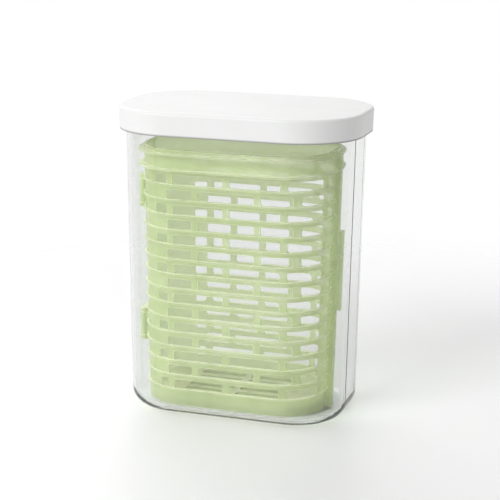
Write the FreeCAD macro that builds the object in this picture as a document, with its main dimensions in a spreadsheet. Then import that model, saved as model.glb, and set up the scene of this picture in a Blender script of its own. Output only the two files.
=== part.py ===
import FreeCAD, Part
import math
import os
import re
import Sketcher
from FreeCAD import Vector

# Herb keeper: a clear tub, a press-on lid and a slotted basket that opens like a book.
# The origin is on the surface it stands on, +Z is up, X runs along the long side and
# the front faces -Y. Every drafted outline is given at its top edge. Lengths are in
# millimetres and drafts in degrees.

SIZES = {
    # tub
    "tub_length": 157.7,
    "tub_width": 100.7,
    "tub_corner": 38.7,
    "tub_height": 205.2,
    "tub_draft": 0.86,
    "tub_wall": 2.2,
    "tub_floor": 3.2,
    "base_round": 10.6,
    "rim_bevel": 0.4,
    "foot_width": 4.5,
    "foot_recess": 0.8,
    # lid
    "lid_overhang": 4.5,
    "lid_depth": 15.7,
    "lid_top": 2.7,
    "lid_wall": 2.2,
    "lid_draft": 1.7,
    "lid_round": 2.0,
    "seat_gap": 0.1,
    # plug and seal under the lid
    "plug_depth": 13.0,
    "plug_wall": 2.0,
    "groove_depth": 2.6,
    "ledge_gap": 0.7,
    "ledge_thick": 1.6,
    "seal_height": 6.4,
    "seal_gap": 0.08,
    "lip_thick": 1.6,
    "lip_pitch": 3.4,
    "lip_reach": 1.2,
    "lip_bevel": 0.5,
    # basket outline
    "end_gap": 11.3,
    "side_gap": 5.35,
    "corner_step": 5.1,
    "basket_shift": 2.0,
    "basket_height": 178.3,
    "basket_draft": 1.1,
    "basket_wall": 2.0,
    "basket_gap": 0.3,
    "parting_gap": 0.3,
    "floor_rise": 6.0,
    "floor_thick": 2.0,
    "foot_bevel": 1.5,
    # slots, webs and ribs
    "slot_margin": 16.25,
    "slot_pitch": 10.1,
    "slot_height": 6.5,
    "slot_bevel": 1.0,
    "web_width": 4.3,
    "odd_web": 39.0,
    "even_web": 21.5,
    "far_web": 47.0,
    "latch_band": 2.5,
    "hinge_band": 16.5,
    "rib_thick": 1.1,
    "rib_reach": 1.3,
    "flange_thick": 1.2,
    "flange_reach": 3.8,
    "flange_drop": 2.4,
    "drain_length": 32.0,
    "drain_width": 6.0,
    "drain_pitch": 10.5,
    # hinge and latch
    "grip_rise": 7.0,
    "hinge_spacing": 94.7,
    "hinge_height": 22.5,
    "hinge_out": 3.25,
    "hinge_forward": 10.0,
    "knuckle_radius": 3.0,
    "lug_thick": 2.8,
    "lug_gap": 0.3,
    "lug_back": 7.0,
    "pin_radius": 1.5,
    "pin_play": 0.05,
    "pin_bevel": 0.4,
    "rib_relief": 0.7,
    "latch_height": 55.0,
    "latch_reach": 7.2,
    "latch_thick": 1.9,
    "seam_width": 3.0,
}

# Heights and outlines that several pieces share, as formulas in the names above
UNDERSIDE = "(tub_height + seat_gap)"
LID_PEAK = f"({UNDERSIDE} + lid_top)"
SEAL_FOOT = f"({UNDERSIDE} - plug_depth + ledge_thick)"
SEAL_TOP = f"({SEAL_FOOT} + seal_height)"
FOOT = "(tub_floor + basket_gap)"
RIM = f"({FOOT} + basket_height)"
HALF_LENGTH = "(tub_length / 2 - tub_wall - end_gap)"
HALF_WIDTH = "(tub_width / 2 - tub_wall - side_gap)"
CORNER = "(tub_corner - corner_step)"
LEFT_WALL = f"(-{HALF_LENGTH} - basket_shift)"
RIGHT_WALL = f"({HALF_LENGTH} - basket_shift)"
FLOOR_TOP = f"({FOOT} + floor_rise + floor_thick)"
FIRST_SLOT = f"({RIM} - slot_margin - slot_height)"
ROWS = "floor((basket_height - slot_margin - floor_rise - floor_thick) / slot_pitch)"
SLOPE = "tan(basket_draft)"
GRIP = f"({FOOT} + basket_height / 2 + grip_rise)"
HALF_WEB = "(web_width / 2)"
HINGE_X = f"({LEFT_WALL} - hinge_out)"
HINGE_Y = "(-hinge_forward)"
FAR = "(tub_length + tub_width)"

doc = FreeCAD.newDocument("herb_keeper")
sheet = doc.addObject("Spreadsheet::Sheet", "sizes")
for row, (alias, amount) in enumerate(SIZES.items(), start=1):
    sheet.set(f"A{row}", alias)
    sheet.set(f"B{row}", str(amount))
    sheet.setAlias(f"B{row}", alias)
doc.recompute()


def bound(formula):
    """Turn a formula in size names into an expression on the sheet."""
    return re.sub(r"[a-z]+(_[a-z]+)+", r"sizes.\g<0>", formula)


def number(formula):
    """Work out a formula in size names."""
    return float(sheet.evalExpression(bound(formula)))


def tie(item, **formulas):
    """Bind properties of an object to formulas in size names."""
    for name, formula in formulas.items():
        item.setExpression(name.replace("__", "."), bound(formula))
    return item


def new_body(name):
    """Start a body whose label is its own name."""
    body = doc.addObject("PartDesign::Body", name)
    body.Label = name
    return body


def new_sketch(body, role, rise="0", shift="0"):
    """Attach a sketch to an origin plane of its body, raised and shifted by formulas."""
    sketch = body.newObject("Sketcher::SketchObject", body.Name + "_outline")
    plane = next(item for item in body.Origin.OriginFeatures if item.Role == role)
    sketch.AttachmentSupport = [(plane, "")]
    sketch.MapMode = "FlatFace"
    return tie(sketch, AttachmentOffset__Base__z=rise, AttachmentOffset__Base__x=shift)


def constrain(sketch, relations, dimensions):
    """Add relations and dimensions to a sketch in one go and bind the dimensions."""
    sized = [Sketcher.Constraint(kind, *where, number(text)) for kind, where, text in dimensions]
    start = sketch.ConstraintCount + len(relations)
    sketch.addConstraint([Sketcher.Constraint(*relation) for relation in relations] + sized)
    for index, (kind, where, text) in enumerate(dimensions, start=start):
        sketch.renameConstraint(index, f"size_{index}")
        sketch.setExpression(f"Constraints.size_{index}", bound(text))


def draw_rounded(sketch, left, right, low, high, corner):
    """Draw a rounded rectangle whose sides lie at four distances from the sketch origin."""
    x0, x1, y0, y1, r = (number(text) for text in (left, right, low, high, corner))
    centres = [(x1 - r, y1 - r), (x0 + r, y1 - r), (x0 + r, y0 + r), (x1 - r, y0 + r)]
    arcs = []
    for turn, (x, y) in enumerate(centres):
        circle = Part.Circle(Vector(x, y, 0), Vector(0, 0, 1), r)
        arcs.append(Part.ArcOfCircle(circle, turn * math.pi / 2, (turn + 1) * math.pi / 2))
    lines = [Part.LineSegment(arcs[i].EndPoint, arcs[(i + 1) % 4].StartPoint) for i in range(4)]
    arc = sketch.GeometryCount
    line = arc + 4
    sketch.addGeometry(arcs + lines, False)
    relations = [("Equal", arc, arc + i) for i in (1, 2, 3)]
    for i, way in enumerate(("Horizontal", "Vertical", "Horizontal", "Vertical")):
        relations.append((way, line + i))
        relations.append(("Tangent", arc + i, 2, line + i, 1))
        relations.append(("Tangent", line + i, 2, arc + (i + 1) % 4, 1))
    constrain(sketch, relations, [
        ("Radius", (arc,), corner),
        ("DistanceY", (-1, 1, line, 1), high),
        ("DistanceX", (-1, 1, line + 1, 1), left),
        ("DistanceY", (-1, 1, line + 2, 1), low),
        ("DistanceX", (-1, 1, line + 3, 1), right),
    ])


def draw_rectangle(sketch, left, right, low, high):
    """Draw a rectangle whose sides lie at four distances from the sketch origin."""
    x0, x1, y0, y1 = (number(text) for text in (left, right, low, high))
    corners = [Vector(x, y, 0) for x, y in ((x1, y1), (x0, y1), (x0, y0), (x1, y0))]
    line = sketch.GeometryCount
    sketch.addGeometry([Part.LineSegment(corners[i], corners[(i + 1) % 4]) for i in range(4)], False)
    relations = []
    for i, way in enumerate(("Horizontal", "Vertical", "Horizontal", "Vertical")):
        relations.append((way, line + i))
        relations.append(("Coincident", line + i, 2, line + (i + 1) % 4, 1))
    constrain(sketch, relations, [
        ("DistanceY", (-1, 1, line, 1), high),
        ("DistanceX", (-1, 1, line + 1, 1), left),
        ("DistanceY", (-1, 1, line + 2, 1), low),
        ("DistanceX", (-1, 1, line + 3, 1), right),
    ])


def draw_outline(sketch, half_length, half_width, corner, grow):
    """Draw a centred rounded rectangle, offset outwards by grow."""
    x = f"({half_length} + {grow})"
    y = f"({half_width} + {grow})"
    draw_rounded(sketch, f"-{x}", x, f"-{y}", y, f"({corner} + {grow})")


def draw_circle(sketch, x, y, radius):
    """Draw a circle at a place given by formulas."""
    circle = Part.Circle(Vector(number(x), number(y), 0), Vector(0, 0, 1), number(radius))
    index = sketch.addGeometry(circle, False)
    constrain(sketch, [], [
        ("Radius", (index,), radius),
        ("DistanceX", (-1, 1, index, 3), x),
        ("DistanceY", (-1, 1, index, 3), y),
    ])


def extrude(body, kind, sketch, length, draft="0 * tub_draft", turned=False, both=False):
    """Pad or pocket a sketch, drafted inwards on its way."""
    feature = body.newObject(f"PartDesign::{kind}", body.Name + "_" + kind.lower())
    feature.Profile = sketch
    feature.Reversed = turned
    feature.Midplane = both
    tie(feature, Length=length, TaperAngle=f"-{draft}")
    doc.recompute()
    return feature


def dress(body, feature, kind, size, wanted):
    """Fillet or chamfer every edge of a feature whose bounding box is wanted."""
    edges = [f"Edge{index}" for index, edge in enumerate(feature.Shape.Edges, start=1)
             if wanted(edge.BoundBox)]
    dressing = body.newObject(f"PartDesign::{kind}", f"{body.Name}_{kind.lower()}")
    dressing.Base = (feature, edges)
    tie(dressing, **{"Radius" if kind == "Fillet" else "Size": size})
    doc.recompute()
    return dressing


def dress_rim(body, feature, kind, size, *heights):
    """Fillet or chamfer every edge of a feature that lies flat at one of some heights."""
    levels = [number(height) for height in heights]

    def is_flat(box):
        return any(abs(box.ZMin - level) + abs(box.ZMax - level) < 0.002 for level in levels)

    return dress(body, feature, kind, size, is_flat)


def join(name, parts, kind="Fuse"):
    """Fuse several shapes, or keep what they have in common."""
    result = doc.addObject(f"Part::Multi{kind}", name)
    result.Shapes = parts
    result.Label = name
    return result


def cut(name, base, tool):
    """Cut one shape from another."""
    result = doc.addObject("Part::Cut", name)
    result.Base = base
    result.Tool = tool
    result.Label = name
    return result


def block(name, x_range, y_range, z_range):
    """Make a box between two formulas on each axis."""
    box = doc.addObject("Part::Box", name)
    for axis, side, (low, high) in zip("xyz", ("Length", "Width", "Height"), (x_range, y_range, z_range)):
        box.setExpression(f"Placement.Base.{axis}", bound(low))
        box.setExpression(side, bound(f"({high}) - ({low})"))
    return box


def tub_block(name, grow, top, depth, draft="tub_draft", dressings=()):
    """Make a solid of the tub's outline, offset outwards by grow and drafted from its top."""
    body = new_body(name)
    sketch = new_sketch(body, "XY_Plane", top)
    draw_outline(sketch, "tub_length / 2", "tub_width / 2", "tub_corner", grow)
    feature = extrude(body, "Pad", sketch, depth, draft, turned=True)
    for kind, size, *heights in dressings:
        feature = dress_rim(body, feature, kind, size, *heights)
    return body


def inside_tub(gap, height):
    """Offset from the tub's rim outline to a gap inside its drafted wall at some height."""
    return f"(-tub_wall - ({gap}) - (tub_height - {height}) * tan(tub_draft))"


def add_tub():
    """Clear tub: drafted walls, a heavy rounded base and a recess inside its foot ring."""
    outside = tub_block("tub_outside", "0", "tub_height", "tub_height",
                        dressings=[("Fillet", "base_round", "0 * tub_height"),
                                   ("Chamfer", "rim_bevel", "tub_height")])
    inside = tub_block("tub_inside", "(-tub_wall)", "tub_height", "tub_height - tub_floor",
                       dressings=[("Fillet", "base_round - tub_wall", "tub_floor")])
    foot = "(-tub_height * tan(tub_draft) - base_round - foot_width)"
    recess = tub_block("foot_hollow", foot, "foot_recess", "foot_recess")
    return cut("tub", outside, join("tub_hollow", [inside, recess]))


def add_lid_cover():
    """Lid cover: a flat top with a soft edge and a skirt that hides the tub's rim."""
    outside = tub_block("cover_outside", "lid_overhang", LID_PEAK, "lid_depth", "lid_draft",
                        dressings=[("Fillet", "lid_round", LID_PEAK)])
    inside = tub_block("cover_inside", "(lid_overhang - lid_wall)", UNDERSIDE,
                       "lid_depth - lid_top", "lid_draft")
    return cut("lid_cover", outside, inside)


def plug_core(name, inset, top, depth):
    """Solid of the plug's outline inside the seal's groove, inset further by a wall."""
    return tub_block(name, inside_tub(f"groove_depth + {inset}", top), top, depth)


def add_lid_plug():
    """Plug: a ring under the cover that reaches into the tub, with a ledge for the seal."""
    wall = plug_core("plug_outside", "0 * plug_wall", UNDERSIDE, "plug_depth")
    ledge = tub_block("plug_ledge", inside_tub("ledge_gap", SEAL_FOOT), SEAL_FOOT, "ledge_thick")
    hollow = plug_core("plug_inside", "plug_wall", UNDERSIDE, "plug_depth")
    return cut("lid_plug", join("plug_solid", [wall, ledge]), hollow)


def add_lid_seal():
    """Soft seal: a ring on the plug with two bevelled lips that meet the tub's wall."""
    rings = [tub_block("seal_ring", inside_tub("seal_gap + lip_reach", SEAL_TOP), SEAL_TOP, "seal_height")]
    for index in (0, 1):
        top = f"({SEAL_TOP} - lip_thick / 2 - {index} * lip_pitch)"
        rings.append(tub_block(f"seal_lip_{index + 1}", inside_tub("seal_gap", top), top, "lip_thick",
                               dressings=[("Chamfer", "lip_bevel", top, f"{top} - lip_thick")]))
    core = plug_core("seal_inside", "0 * plug_wall", SEAL_TOP, "seal_height")
    return cut("lid_seal", join("seal_solid", rings), core)


def drafted_block(name, grow, top, depth, dressings=()):
    """Make a solid of the basket's drafted outline, offset outwards by grow."""
    body = new_body(name)
    sketch = new_sketch(body, "XY_Plane", top, "(-basket_shift)")
    draw_outline(sketch, HALF_LENGTH, HALF_WIDTH, CORNER, f"({grow} - ({RIM} - {top}) * {SLOPE})")
    feature = extrude(body, "Pad", sketch, depth, "basket_draft", turned=True)
    for kind, size, *heights in dressings:
        feature = dress_rim(body, feature, kind, size, *heights)
    return body


def slot_row(index):
    """Cut tool for one row of slots. Odd and even rows are laid like bricks."""
    body = new_body(f"slot_row_{index + 1}")
    low = f"({FIRST_SLOT} - {index} * slot_pitch)"
    latch_end = f"({RIGHT_WALL} - latch_band - ({RIM} - {low}) * {SLOPE})"
    hinge_end = f"({LEFT_WALL} + hinge_band + ({RIM} - {low}) * {SLOPE})"
    if index % 2 == 0:
        webs = ["(-odd_web)", "0", "odd_web"]
    else:
        webs = ["(-even_web)", "even_web", "far_web"]
        hinge_end = f"(-odd_web - {HALF_WEB})"
    lefts = [hinge_end] + [f"({web} + {HALF_WEB})" for web in webs]
    rights = [f"({web} - {HALF_WEB})" for web in webs] + [latch_end]
    sketch = new_sketch(body, "XZ_Plane")
    for left, right in zip(lefts, rights):
        draw_rectangle(sketch, left, right, low, f"({low} + slot_height)")
    pad = extrude(body, "Pad", sketch, FAR, both=True)
    dress(body, pad, "Chamfer", "slot_bevel", lambda box: box.XLength + box.ZLength < 0.001)
    return body


def drain_row(index):
    """Cut tool for one pair of drain rows in the basket's floor, one row in each half."""
    body = new_body(f"drain_row_{index + 1}")
    sketch = new_sketch(body, "XY_Plane", FOOT, "(-basket_shift)")
    near = f"(drain_pitch * {index + 0.75} - drain_width / 2)"
    far = f"(drain_pitch * {index + 0.75} + drain_width / 2)"
    inner_end = HALF_WEB
    outer_end = f"({HALF_WEB} + drain_length)"
    for left, right in ((f"(-{outer_end})", f"(-{inner_end})"), (inner_end, outer_end)):
        draw_rectangle(sketch, left, right, near, far)
        draw_rectangle(sketch, left, right, f"(-{far})", f"(-{near})")
    pad = extrude(body, "Pad", sketch, "floor_rise + 2 * floor_thick")
    dress(body, pad, "Chamfer", "slot_bevel", lambda box: box.XLength + box.YLength < 0.001)
    return body


def add_ribs():
    """Thin ribs, one under each row of slots, broken where the hinge knuckles stand."""
    envelope = drafted_block("rib_envelope", "rib_reach", RIM, "basket_height")
    everywhere = (f"(-{FAR})", FAR)
    plates = []
    for index in range(int(number(ROWS))):
        top = f"({FIRST_SLOT} - {index} * slot_pitch)"
        plates.append(block(f"rib_plate_{index + 1}", everywhere, everywhere, (f"{top} - rib_thick", top)))
    rings = join("rib_rings", [envelope, join("rib_plates", plates)], "Common")
    relief = block(
        "rib_relief_space",
        (f"(-{FAR})", f"({LEFT_WALL} + {HALF_LENGTH} / 2)"),
        (f"({HINGE_Y} - knuckle_radius - rib_relief)", "(lug_back + rib_relief)"),
        ("0 * tub_height", RIM),
    )
    return cut("ribs", rings, relief)


def add_outside():
    """Everything on the outside of the basket before it is hollowed and split."""
    everywhere = (f"(-{FAR})", FAR)
    wall = drafted_block("wall_block", "0", RIM, "basket_height", [("Chamfer", "foot_bevel", FOOT)])
    flange_envelope = drafted_block("flange_envelope", "flange_reach", RIM, "basket_height")
    latch_envelope = drafted_block("latch_envelope", "latch_reach", RIM, "basket_height")
    plates = []
    for index in (0, 1):
        top = f"({RIM} - flange_drop - {index} * slot_pitch)"
        span = (f"{top} - flange_thick", top)
        plates.append(block(f"flange_plate_{index + 1}", everywhere, everywhere, span))
    right_end = (f"({RIGHT_WALL} - {HALF_LENGTH} / 2)", FAR)
    seam_side = "(seam_width + parting_gap / 2)"
    plates.append(block("seam_plate", right_end, (f"(-{seam_side})", seam_side),
                        (FOOT, f"({RIM} - flange_drop)")))
    flanges = join("flanges", [flange_envelope, join("flange_plates", plates)], "Common")
    latch_side = "(latch_thick + parting_gap / 2)"
    latch_plate = block("latch_plate", right_end, (f"(-{latch_side})", latch_side),
                        (f"({GRIP} - latch_height / 2)", f"({GRIP} + latch_height / 2)"))
    latch = join("latch_tabs", [latch_envelope, latch_plate], "Common")
    return join("basket_outside", [wall, add_ribs(), flanges, latch])


def cylinder(name, radius, low, height):
    """Make a cylinder about the hinge line."""
    rod = doc.addObject("Part::Cylinder", name)
    place = dict(zip("xyz", (HINGE_X, HINGE_Y, low)))
    for axis, formula in place.items():
        rod.setExpression(f"Placement.Base.{axis}", bound(formula))
    return tie(rod, Radius=radius, Height=height)


def wall_middle(height):
    """The middle of the left wall at some height, where the knuckles take root."""
    return f"({LEFT_WALL} + ({RIM} - {height}) * {SLOPE} + basket_wall / 2)"


def add_lug(name, low):
    """Lug on the back half: reaches forward round the outside of the front half to the pin."""
    span = (low, f"{low} + lug_thick")
    eye = cylinder(name + "_eye", "knuckle_radius", low, "lug_thick")
    sides = (f"{HINGE_X} - knuckle_radius", f"{HINGE_X} + knuckle_radius")
    arm = block(name + "_arm", sides, (HINGE_Y, "lug_back"), span)
    root = block(name + "_root", (HINGE_X, wall_middle(low)), ("parting_gap / 2", "lug_back"), span)
    return join(name, [eye, arm, root])


def add_barrel(name, low, height):
    """Barrel on the front half: turns on the pin between two lugs."""
    eye = cylinder(name + "_eye", "knuckle_radius", low, height)
    sides = (f"{HINGE_Y} - knuckle_radius * 0.7", f"{HINGE_Y} + knuckle_radius * 0.7")
    root = block(name + "_root", (HINGE_X, wall_middle(f"({low} + {height} / 2)")), sides,
                 (low, f"{low} + {height}"))
    return join(name, [eye, root])


def add_pin(name, low):
    """Hinge pin: held in the two lugs, with bevelled ends."""
    body = new_body(name)
    sketch = new_sketch(body, "XY_Plane", low)
    draw_circle(sketch, HINGE_X, HINGE_Y, "pin_radius")
    feature = extrude(body, "Pad", sketch, "hinge_height")
    dress_rim(body, feature, "Chamfer", "pin_bevel", low, f"{low} + hinge_height")
    return body


def add_basket():
    """Basket: hollowed, slotted and split into a hinged front half and a back half."""
    everywhere = (f"(-{FAR})", FAR)
    cavity = drafted_block("basket_cavity", "(-basket_wall)", RIM, f"{RIM} - {FLOOR_TOP}")
    recess = drafted_block("floor_recess", "(-basket_wall)", f"({FOOT} + floor_rise)", "floor_rise")
    rows = [slot_row(index) for index in range(int(number(ROWS)))]
    drains = [drain_row(index) for index in range(3)]
    openings = join("basket_openings", [cavity, recess] + drains + rows)
    shell = cut("basket_shell", add_outside(), openings)
    spaces = {
        "front": block("front_space", everywhere, (f"(-{FAR})", "(-parting_gap / 2)"), everywhere),
        "back": block("back_space", everywhere, ("parting_gap / 2", FAR), everywhere),
    }
    halves = {side: join(f"{side}_shell", [shell, space], "Common") for side, space in spaces.items()}
    pieces = {side: [half] for side, half in halves.items()}
    holes = {side: [] for side in halves}
    pins = []
    for place, sign in (("upper", "+"), ("lower", "-")):
        low = f"({GRIP} {sign} hinge_spacing / 2 - hinge_height / 2)"
        upper_lug = f"({low} + hinge_height - lug_thick)"
        barrel_low = f"({low} + lug_thick + lug_gap)"
        barrel_height = "(hinge_height - 2 * lug_thick - 2 * lug_gap)"
        pieces["back"].append(add_lug(f"{place}_hinge_low_lug", low))
        pieces["back"].append(add_lug(f"{place}_hinge_high_lug", upper_lug))
        pieces["front"].append(add_barrel(f"{place}_hinge_barrel", barrel_low, barrel_height))
        for side, radius in (("back", "pin_radius"), ("front", "pin_radius + pin_play")):
            holes[side].append(cylinder(f"{place}_{side}_hole", radius, low, "hinge_height"))
        pins.append(add_pin(f"hinge_pin_{place}", low))
    solids = []
    for side in ("front", "back"):
        whole = join(f"{side}_with_knuckles", pieces[side])
        solids.append(cut(f"basket_{side}", whole, join(f"{side}_holes", holes[side])))
    return solids + pins


def check(item):
    """Stop if any feature failed or a piece has no valid solid."""
    shape = item.Shape
    if shape.isNull() or not shape.isValid() or len(shape.Solids) != 1:
        raise RuntimeError(f"{item.Label} is not one valid solid")


parts = [add_tub(), add_lid_cover(), add_lid_plug(), add_lid_seal()] + add_basket()
doc.recompute()
for item in doc.Objects:
    if "Invalid" in item.State or "Error" in item.State:
        raise RuntimeError(f"{item.Label} failed: {item.State}")
for part in parts:
    check(part)
os.makedirs("parts", exist_ok=True)
for part in parts:
    part.Shape.exportStep(f"parts/{part.Label}.step")
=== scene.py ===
import math

import bmesh
import bpy
from mathutils import Matrix, Vector


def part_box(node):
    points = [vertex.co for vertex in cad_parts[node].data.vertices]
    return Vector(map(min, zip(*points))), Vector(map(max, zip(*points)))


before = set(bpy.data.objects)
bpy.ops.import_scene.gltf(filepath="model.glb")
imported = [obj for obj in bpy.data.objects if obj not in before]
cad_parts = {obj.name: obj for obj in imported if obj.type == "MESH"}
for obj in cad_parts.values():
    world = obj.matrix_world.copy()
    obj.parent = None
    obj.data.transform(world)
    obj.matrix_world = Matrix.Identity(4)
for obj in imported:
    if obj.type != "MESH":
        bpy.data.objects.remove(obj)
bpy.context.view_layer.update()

# Looks for the herb keeper: finishes, soft studio light, a pale floor and the camera.
# Lengths are in metres, and noise scales are per metre.

# Camera
TARGET = Vector((0.0, 0.0, 0.104))
DISTANCE = 1.0306
AZIMUTH = math.radians(17.96)
ELEVATION = math.radians(14.09)
ROLL = math.radians(0.49)
LENS_MM = 108.57
SHIFT_X = 0.0095
SHIFT_Y = 0.0111

# Light
WHITE = (1.0, 1.0, 1.0, 1.0)
SKY_STRENGTH = 0.55
SOFTBOX_SIZE = 0.9
KEY_PLACE = (-0.8, -1.3, 0.95)
KEY_POWER = 17.0
BACK_PLACE = (-0.6, 0.9, 1.2)
BACK_POWER = 6.5

# Floor, which fades to the backdrop between two distances from the object
FLOOR_RADIUS = 3.0
FLOOR_SEGMENTS = 96
FLOOR_DROP = 0.0002
FLOOR_FADE = (0.22, 0.60)
FLOOR_TONES = ((0.955, 0.955, 0.96, 1.0), (0.97, 0.97, 0.97, 1.0))
FLOOR_TONE_SCALE = 5.0
FLOOR_ROUGHNESS = (0.36, 0.44)
FLOOR_ROUGHNESS_SCALE = 30.0

# Surface detail that the pieces share. Nearly all noise values lie in NOISE_SPAN.
NOISE_SPAN = (0.3, 0.7)
NOISE_DETAIL = 3.0
EDGE_SOFTNESS = 0.0003
EDGE_SAMPLES = 6
GRAIN_SCALE = 1400.0
FLOW_SCALE = 28.0
FLOW_DETAIL = 1.0

# White plastic. The painted shade at the lid's lower edge stands in for the shadow under the skirt.
# It fades between two heights above that edge.
WHITE_TONES = ((0.80, 0.80, 0.795, 1.0), (0.83, 0.83, 0.825, 1.0))
WHITE_TONE_SCALE = 22.0
WHITE_ROUGHNESS = (0.38, 0.48)
WHITE_ROUGHNESS_SCALE = 60.0
WHITE_SCATTER = 0.08
WHITE_SCATTER_REACH = 0.002
LID_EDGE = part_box("lid_cover")[0][2]
LID_PAINTED_SHADE = (0.0003, 0.0014)
LID_PAINTED_SHADE_TONE = (0.30, 0.30, 0.29, 1.0)

# Seal
SEAL_TONES = ((0.70, 0.75, 0.60, 1.0), (0.76, 0.80, 0.67, 1.0))
SEAL_TONE_SCALE = 40.0
SEAL_ROUGHNESS = (0.55, 0.70)
SEAL_ROUGHNESS_SCALE = 90.0

# Clear plastic
CLEAR_TONES = ((0.875, 0.885, 0.880, 1.0), (0.895, 0.905, 0.900, 1.0))
CLEAR_TONE_SCALE = 12.0
CLEAR_ROUGHNESS = (0.010, 0.035)
CLEAR_ROUGHNESS_SCALE = 45.0
CLEAR_IOR = 1.49
CLEAR_SHADOW = (0.95, 0.975, 0.95, 1.0)

# Green plastic, part milky and part clear, with a painted highlight on ledges and edges. Density is
# the milky share. The two spans are cosines, of the tilt of a ledge and of the turn that rounding gives
# the surface beside an edge.
GREEN_TONES = ((0.75, 0.83, 0.53, 1.0), (0.81, 0.88, 0.59, 1.0))
GREEN_TONE_SCALE = 30.0
# Painted highlight: paler yellow-green on level ledges and beside edges, as if they catch the light.
GREEN_PAINTED_HIGHLIGHT = (0.99, 1.0, 0.84, 1.0)
GREEN_THROUGH = (0.93, 0.955, 0.84, 1.0)
GREEN_ROUGHNESS = (0.22, 0.34)
GREEN_ROUGHNESS_SCALE = 70.0
GREEN_GLOW = 0.45
WALL_DENSITY = (0.40, 0.50)
WALL_DENSITY_SCALE = 55.0
EDGE_DENSITY = 0.80
LEVEL_SPAN = (0.5, 0.9)
FLAT_SPAN = (0.78, 0.995)
HIGHLIGHT_MASK_REACH = 0.0008
HIGHLIGHT_MASK_SAMPLES = 8


class Look:
    """A material and short ways to add and join its nodes."""

    def __init__(self, name):
        self.material = bpy.data.materials.new(name)
        self.material.use_nodes = True
        self.tree = self.material.node_tree
        self.tree.nodes.clear()
        self.place = self.add("ShaderNodeTexCoord").outputs["Object"]

    def add(self, kind, inputs=None, **settings):
        """Add a node. An input is a plain value or another node's output."""
        node = self.tree.nodes.new(kind)
        for key, value in settings.items():
            setattr(node, key, value)
        for key, value in (inputs or {}).items():
            if isinstance(value, bpy.types.NodeSocket):
                self.tree.links.new(value, node.inputs[key])
            else:
                node.inputs[key].default_value = value
        return node

    def calculate(self, operation, *values):
        """Result of one step of arithmetic."""
        return self.add("ShaderNodeMath", dict(enumerate(values)), operation=operation).outputs[0]

    def between(self, value, start, end, low=0.0, high=1.0, **settings):
        """Stretch start to end onto low to high, and hold the value there beyond them."""
        inputs = {"Value": value, "From Min": start, "From Max": end, "To Min": low, "To Max": high}
        return self.add("ShaderNodeMapRange", inputs, **settings).outputs["Result"]

    def noise(self, scale, detail=NOISE_DETAIL):
        """Noise through space, from 0 to 1."""
        inputs = {"Vector": self.place, "Scale": scale, "Detail": detail}
        return self.add("ShaderNodeTexNoise", inputs).outputs["Fac"]

    def drift(self, scale, low=0.0, high=1.0):
        """Number that drifts from low to high over the surface."""
        return self.between(self.noise(scale), *NOISE_SPAN, low, high)

    def blend(self, factor, first, second):
        """Mix two colours, at the sockets that the Mix node keeps for them."""
        node = self.add("ShaderNodeMix", {"Factor": factor, 6: first, 7: second}, data_type="RGBA")
        return node.outputs[2]

    def tones(self, scale, first, second):
        """Colour that drifts between two tones over the surface."""
        return self.blend(self.drift(scale), first, second)

    def bump(self, normal, height, scale, detail=NOISE_DETAIL):
        """Bend a normal by noise of a given height."""
        inputs = {"Height": self.noise(scale, detail), "Distance": height, "Normal": normal}
        return self.add("ShaderNodeBump", inputs).outputs["Normal"]

    def moulded_normal(self, grain, flow):
        """Soft edges with a fine moulded grain and slow waves, both given as heights."""
        edge = self.add("ShaderNodeBevel", {"Radius": EDGE_SOFTNESS}, samples=EDGE_SAMPLES)
        grained = self.bump(edge.outputs["Normal"], grain, GRAIN_SCALE)
        return self.bump(grained, flow, FLOW_SCALE, FLOW_DETAIL)

    def mix(self, factor, first, second):
        """Mix two shaders."""
        return self.add("ShaderNodeMixShader", {0: factor, 1: first.outputs[0], 2: second.outputs[0]})

    def finish(self, shader):
        """Join the last shader to the output."""
        self.add("ShaderNodeOutputMaterial", {"Surface": shader.outputs[0]})
        return self.material


def white_plastic():
    """Satin moulded white, with painted shade along the lid's lower edge."""
    look = Look("satin_white_plastic")
    height = look.add("ShaderNodeSeparateXYZ", {0: look.place}).outputs["Z"]
    # Painted shade: the lowest mm of the lid cover and plug turns dark grey, standing in for shadow under
    # the skirt.
    above = look.between(height, LID_EDGE + LID_PAINTED_SHADE[0], LID_EDGE + LID_PAINTED_SHADE[1])
    shader = look.add("ShaderNodeBsdfPrincipled", {
        "Base Color": look.blend(above, LID_PAINTED_SHADE_TONE, look.tones(WHITE_TONE_SCALE, *WHITE_TONES)),
        "Roughness": look.drift(WHITE_ROUGHNESS_SCALE, *WHITE_ROUGHNESS),
        "Normal": look.moulded_normal(grain=0.00002, flow=0.00004),
        "Subsurface Weight": WHITE_SCATTER,
        "Subsurface Scale": WHITE_SCATTER_REACH,
    })
    return look.finish(shader)


def seal_rubber():
    """Pale soft rubber, matt, with a slight green cast."""
    look = Look("soft_seal_rubber")
    shader = look.add("ShaderNodeBsdfPrincipled", {
        "Base Color": look.tones(SEAL_TONE_SCALE, *SEAL_TONES),
        "Roughness": look.drift(SEAL_ROUGHNESS_SCALE, *SEAL_ROUGHNESS),
        "Normal": look.moulded_normal(grain=0.00004, flow=0.00006),
    })
    return look.finish(shader)


def clear_plastic():
    """Clear polished plastic that lets light through to what it holds."""
    look = Look("clear_plastic")
    glass = look.add("ShaderNodeBsdfPrincipled", {
        "Base Color": look.tones(CLEAR_TONE_SCALE, *CLEAR_TONES),
        "Roughness": look.drift(CLEAR_ROUGHNESS_SCALE, *CLEAR_ROUGHNESS),
        "IOR": CLEAR_IOR,
        "Transmission Weight": 1.0,
        "Normal": look.moulded_normal(grain=0.000001, flow=0.00006),
    })
    through = look.add("ShaderNodeBsdfTransparent", {"Color": CLEAR_SHADOW})
    shadow = look.add("ShaderNodeLightPath").outputs["Is Shadow Ray"]
    return look.finish(look.mix(shadow, glass, through))


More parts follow.
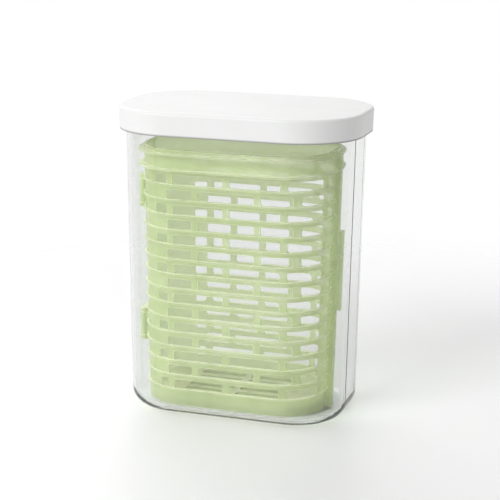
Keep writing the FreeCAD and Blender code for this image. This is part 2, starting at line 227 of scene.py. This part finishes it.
def painted_highlight_mask(look):
    """Painted highlight mask, from 0 on a plain upright wall to 1 on a level ledge or beside an edge."""
    normal = look.add("ShaderNodeNewGeometry").outputs["Normal"]
    upright = look.add("ShaderNodeSeparateXYZ", {0: normal}).outputs["Z"]
    ledge = look.between(look.calculate("ABSOLUTE", upright), *LEVEL_SPAN)
    rounded = look.add("ShaderNodeBevel", {"Radius": HIGHLIGHT_MASK_REACH}, samples=HIGHLIGHT_MASK_SAMPLES).outputs["Normal"]
    turn = look.add("ShaderNodeVectorMath", {0: rounded, 1: normal}, operation="DOT_PRODUCT")
    flat = look.calculate("ABSOLUTE", turn.outputs["Value"])
    edge = look.between(flat, *FLAT_SPAN, low=1.0, high=0.0)
    return look.calculate("MAXIMUM", ledge, edge)


def green_plastic():
    """Translucent pale green of slightly uneven density, with painted highlights on ledges and edges."""
    look = Look("translucent_green_plastic")
    painted_highlight = painted_highlight_mask(look)
    # Painted highlight: ledges and edges take a paler tint, and the same mask makes them denser.
    tint = look.blend(painted_highlight, look.tones(GREEN_TONE_SCALE, *GREEN_TONES), GREEN_PAINTED_HIGHLIGHT)
    normal = look.moulded_normal(grain=0.00001, flow=0.00005)
    surface = look.add("ShaderNodeBsdfPrincipled", {
        "Base Color": tint,
        "Roughness": look.drift(GREEN_ROUGHNESS_SCALE, *GREEN_ROUGHNESS),
        "Normal": normal,
    })
    glow = look.add("ShaderNodeBsdfTranslucent", {"Color": tint, "Normal": normal})
    milky = look.mix(GREEN_GLOW, surface, glow)
    through = look.add("ShaderNodeBsdfTransparent", {"Color": GREEN_THROUGH})
    wall = look.drift(WALL_DENSITY_SCALE, *WALL_DENSITY)
    edge = look.between(painted_highlight, 0.0, 1.0, high=EDGE_DENSITY)
    density = look.calculate("MAXIMUM", wall, edge)
    return look.finish(look.mix(density, through, milky))


def floor_surface():
    """Pale seamless floor that fades into the white backdrop away from the object."""
    look = Look("pale_floor")
    surface = look.add("ShaderNodeBsdfPrincipled", {
        "Base Color": look.tones(FLOOR_TONE_SCALE, *FLOOR_TONES),
        "Roughness": look.drift(FLOOR_ROUGHNESS_SCALE, *FLOOR_ROUGHNESS),
    })
    away = look.add("ShaderNodeVectorMath", {0: look.place}, operation="LENGTH").outputs["Value"]
    fade = look.between(away, *FLOOR_FADE, interpolation_type="SMOOTHSTEP")
    backdrop = look.add("ShaderNodeBsdfTransparent")
    return look.finish(look.mix(fade, surface, backdrop))


def dress_nodes():
    """Give every CAD node its finish."""
    finishes = {
        clear_plastic(): ["tub"],
        white_plastic(): ["lid_cover", "lid_plug"],
        seal_rubber(): ["lid_seal"],
        green_plastic(): ["basket_front", "basket_back", "hinge_pin_upper", "hinge_pin_lower"],
    }
    for material, names in finishes.items():
        for name in names:
            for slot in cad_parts[name].material_slots:
                slot.link = "OBJECT"
                slot.material = material


def add_floor():
    """Round floor, which isn't part of the object."""
    mesh = bpy.data.meshes.new("floor")
    form = bmesh.new()
    bmesh.ops.create_circle(form, cap_ends=True, segments=FLOOR_SEGMENTS, radius=FLOOR_RADIUS)
    form.to_mesh(mesh)
    form.free()
    floor = bpy.data.objects.new("floor", mesh)
    floor.location.z = -FLOOR_DROP
    floor.data.materials.append(floor_surface())
    bpy.context.scene.collection.objects.link(floor)


def add_softbox(name, place, power):
    """Square area light aimed at the object."""
    light = bpy.data.lights.new(name, "AREA")
    light.energy = power
    light.size = SOFTBOX_SIZE
    box = bpy.data.objects.new(name, light)
    box.location = place
    box.rotation_euler = (TARGET - Vector(place)).to_track_quat("-Z", "Y").to_euler()
    bpy.context.scene.collection.objects.link(box)


def add_sky():
    """White backdrop where it is seen, straight or in gloss and glass, and a softer white for lighting."""
    world = bpy.data.worlds.new("studio")
    world.use_nodes = True
    bpy.context.scene.world = world
    nodes = world.node_tree.nodes
    links = world.node_tree.links
    nodes.clear()
    seen = nodes.new("ShaderNodeBackground")
    seen.inputs["Strength"].default_value = 1.0
    lighting = nodes.new("ShaderNodeBackground")
    lighting.inputs["Strength"].default_value = SKY_STRENGTH
    for background in (seen, lighting):
        background.inputs["Color"].default_value = WHITE
    path = nodes.new("ShaderNodeLightPath")
    either = path.outputs["Is Camera Ray"]
    for ray in ("Is Glossy Ray", "Is Transmission Ray"):
        larger = nodes.new("ShaderNodeMath")
        larger.operation = "MAXIMUM"
        links.new(either, larger.inputs[0])
        links.new(path.outputs[ray], larger.inputs[1])
        either = larger.outputs[0]
    mix = nodes.new("ShaderNodeMixShader")
    output = nodes.new("ShaderNodeOutputWorld")
    links.new(either, mix.inputs[0])
    links.new(lighting.outputs[0], mix.inputs[1])
    links.new(seen.outputs[0], mix.inputs[2])
    links.new(mix.outputs[0], output.inputs["Surface"])


def add_camera():
    """Camera at the photograph's angle."""
    ahead = Vector((
        -math.sin(AZIMUTH) * math.cos(ELEVATION),
        math.cos(AZIMUTH) * math.cos(ELEVATION),
        -math.sin(ELEVATION),
    ))
    level = ahead.cross(Vector((0, 0, 1))).normalized()
    upright = level.cross(ahead)
    right = level * math.cos(ROLL) + upright * math.sin(ROLL)
    up = upright * math.cos(ROLL) - level * math.sin(ROLL)
    lens = bpy.data.cameras.new("camera")
    lens.lens = LENS_MM
    lens.shift_x = SHIFT_X
    lens.shift_y = SHIFT_Y
    camera = bpy.data.objects.new("camera", lens)
    turn = Matrix((right, up, -ahead)).transposed().to_4x4()
    camera.matrix_world = Matrix.Translation(TARGET - ahead * DISTANCE) @ turn
    bpy.context.scene.collection.objects.link(camera)
    bpy.context.scene.camera = camera


dress_nodes()
add_floor()
add_sky()
add_softbox("key_light", KEY_PLACE, KEY_POWER)
add_softbox("back_light", BACK_PLACE, BACK_POWER)
add_camera()
bpy.context.scene.view_settings.view_transform = "Standard"
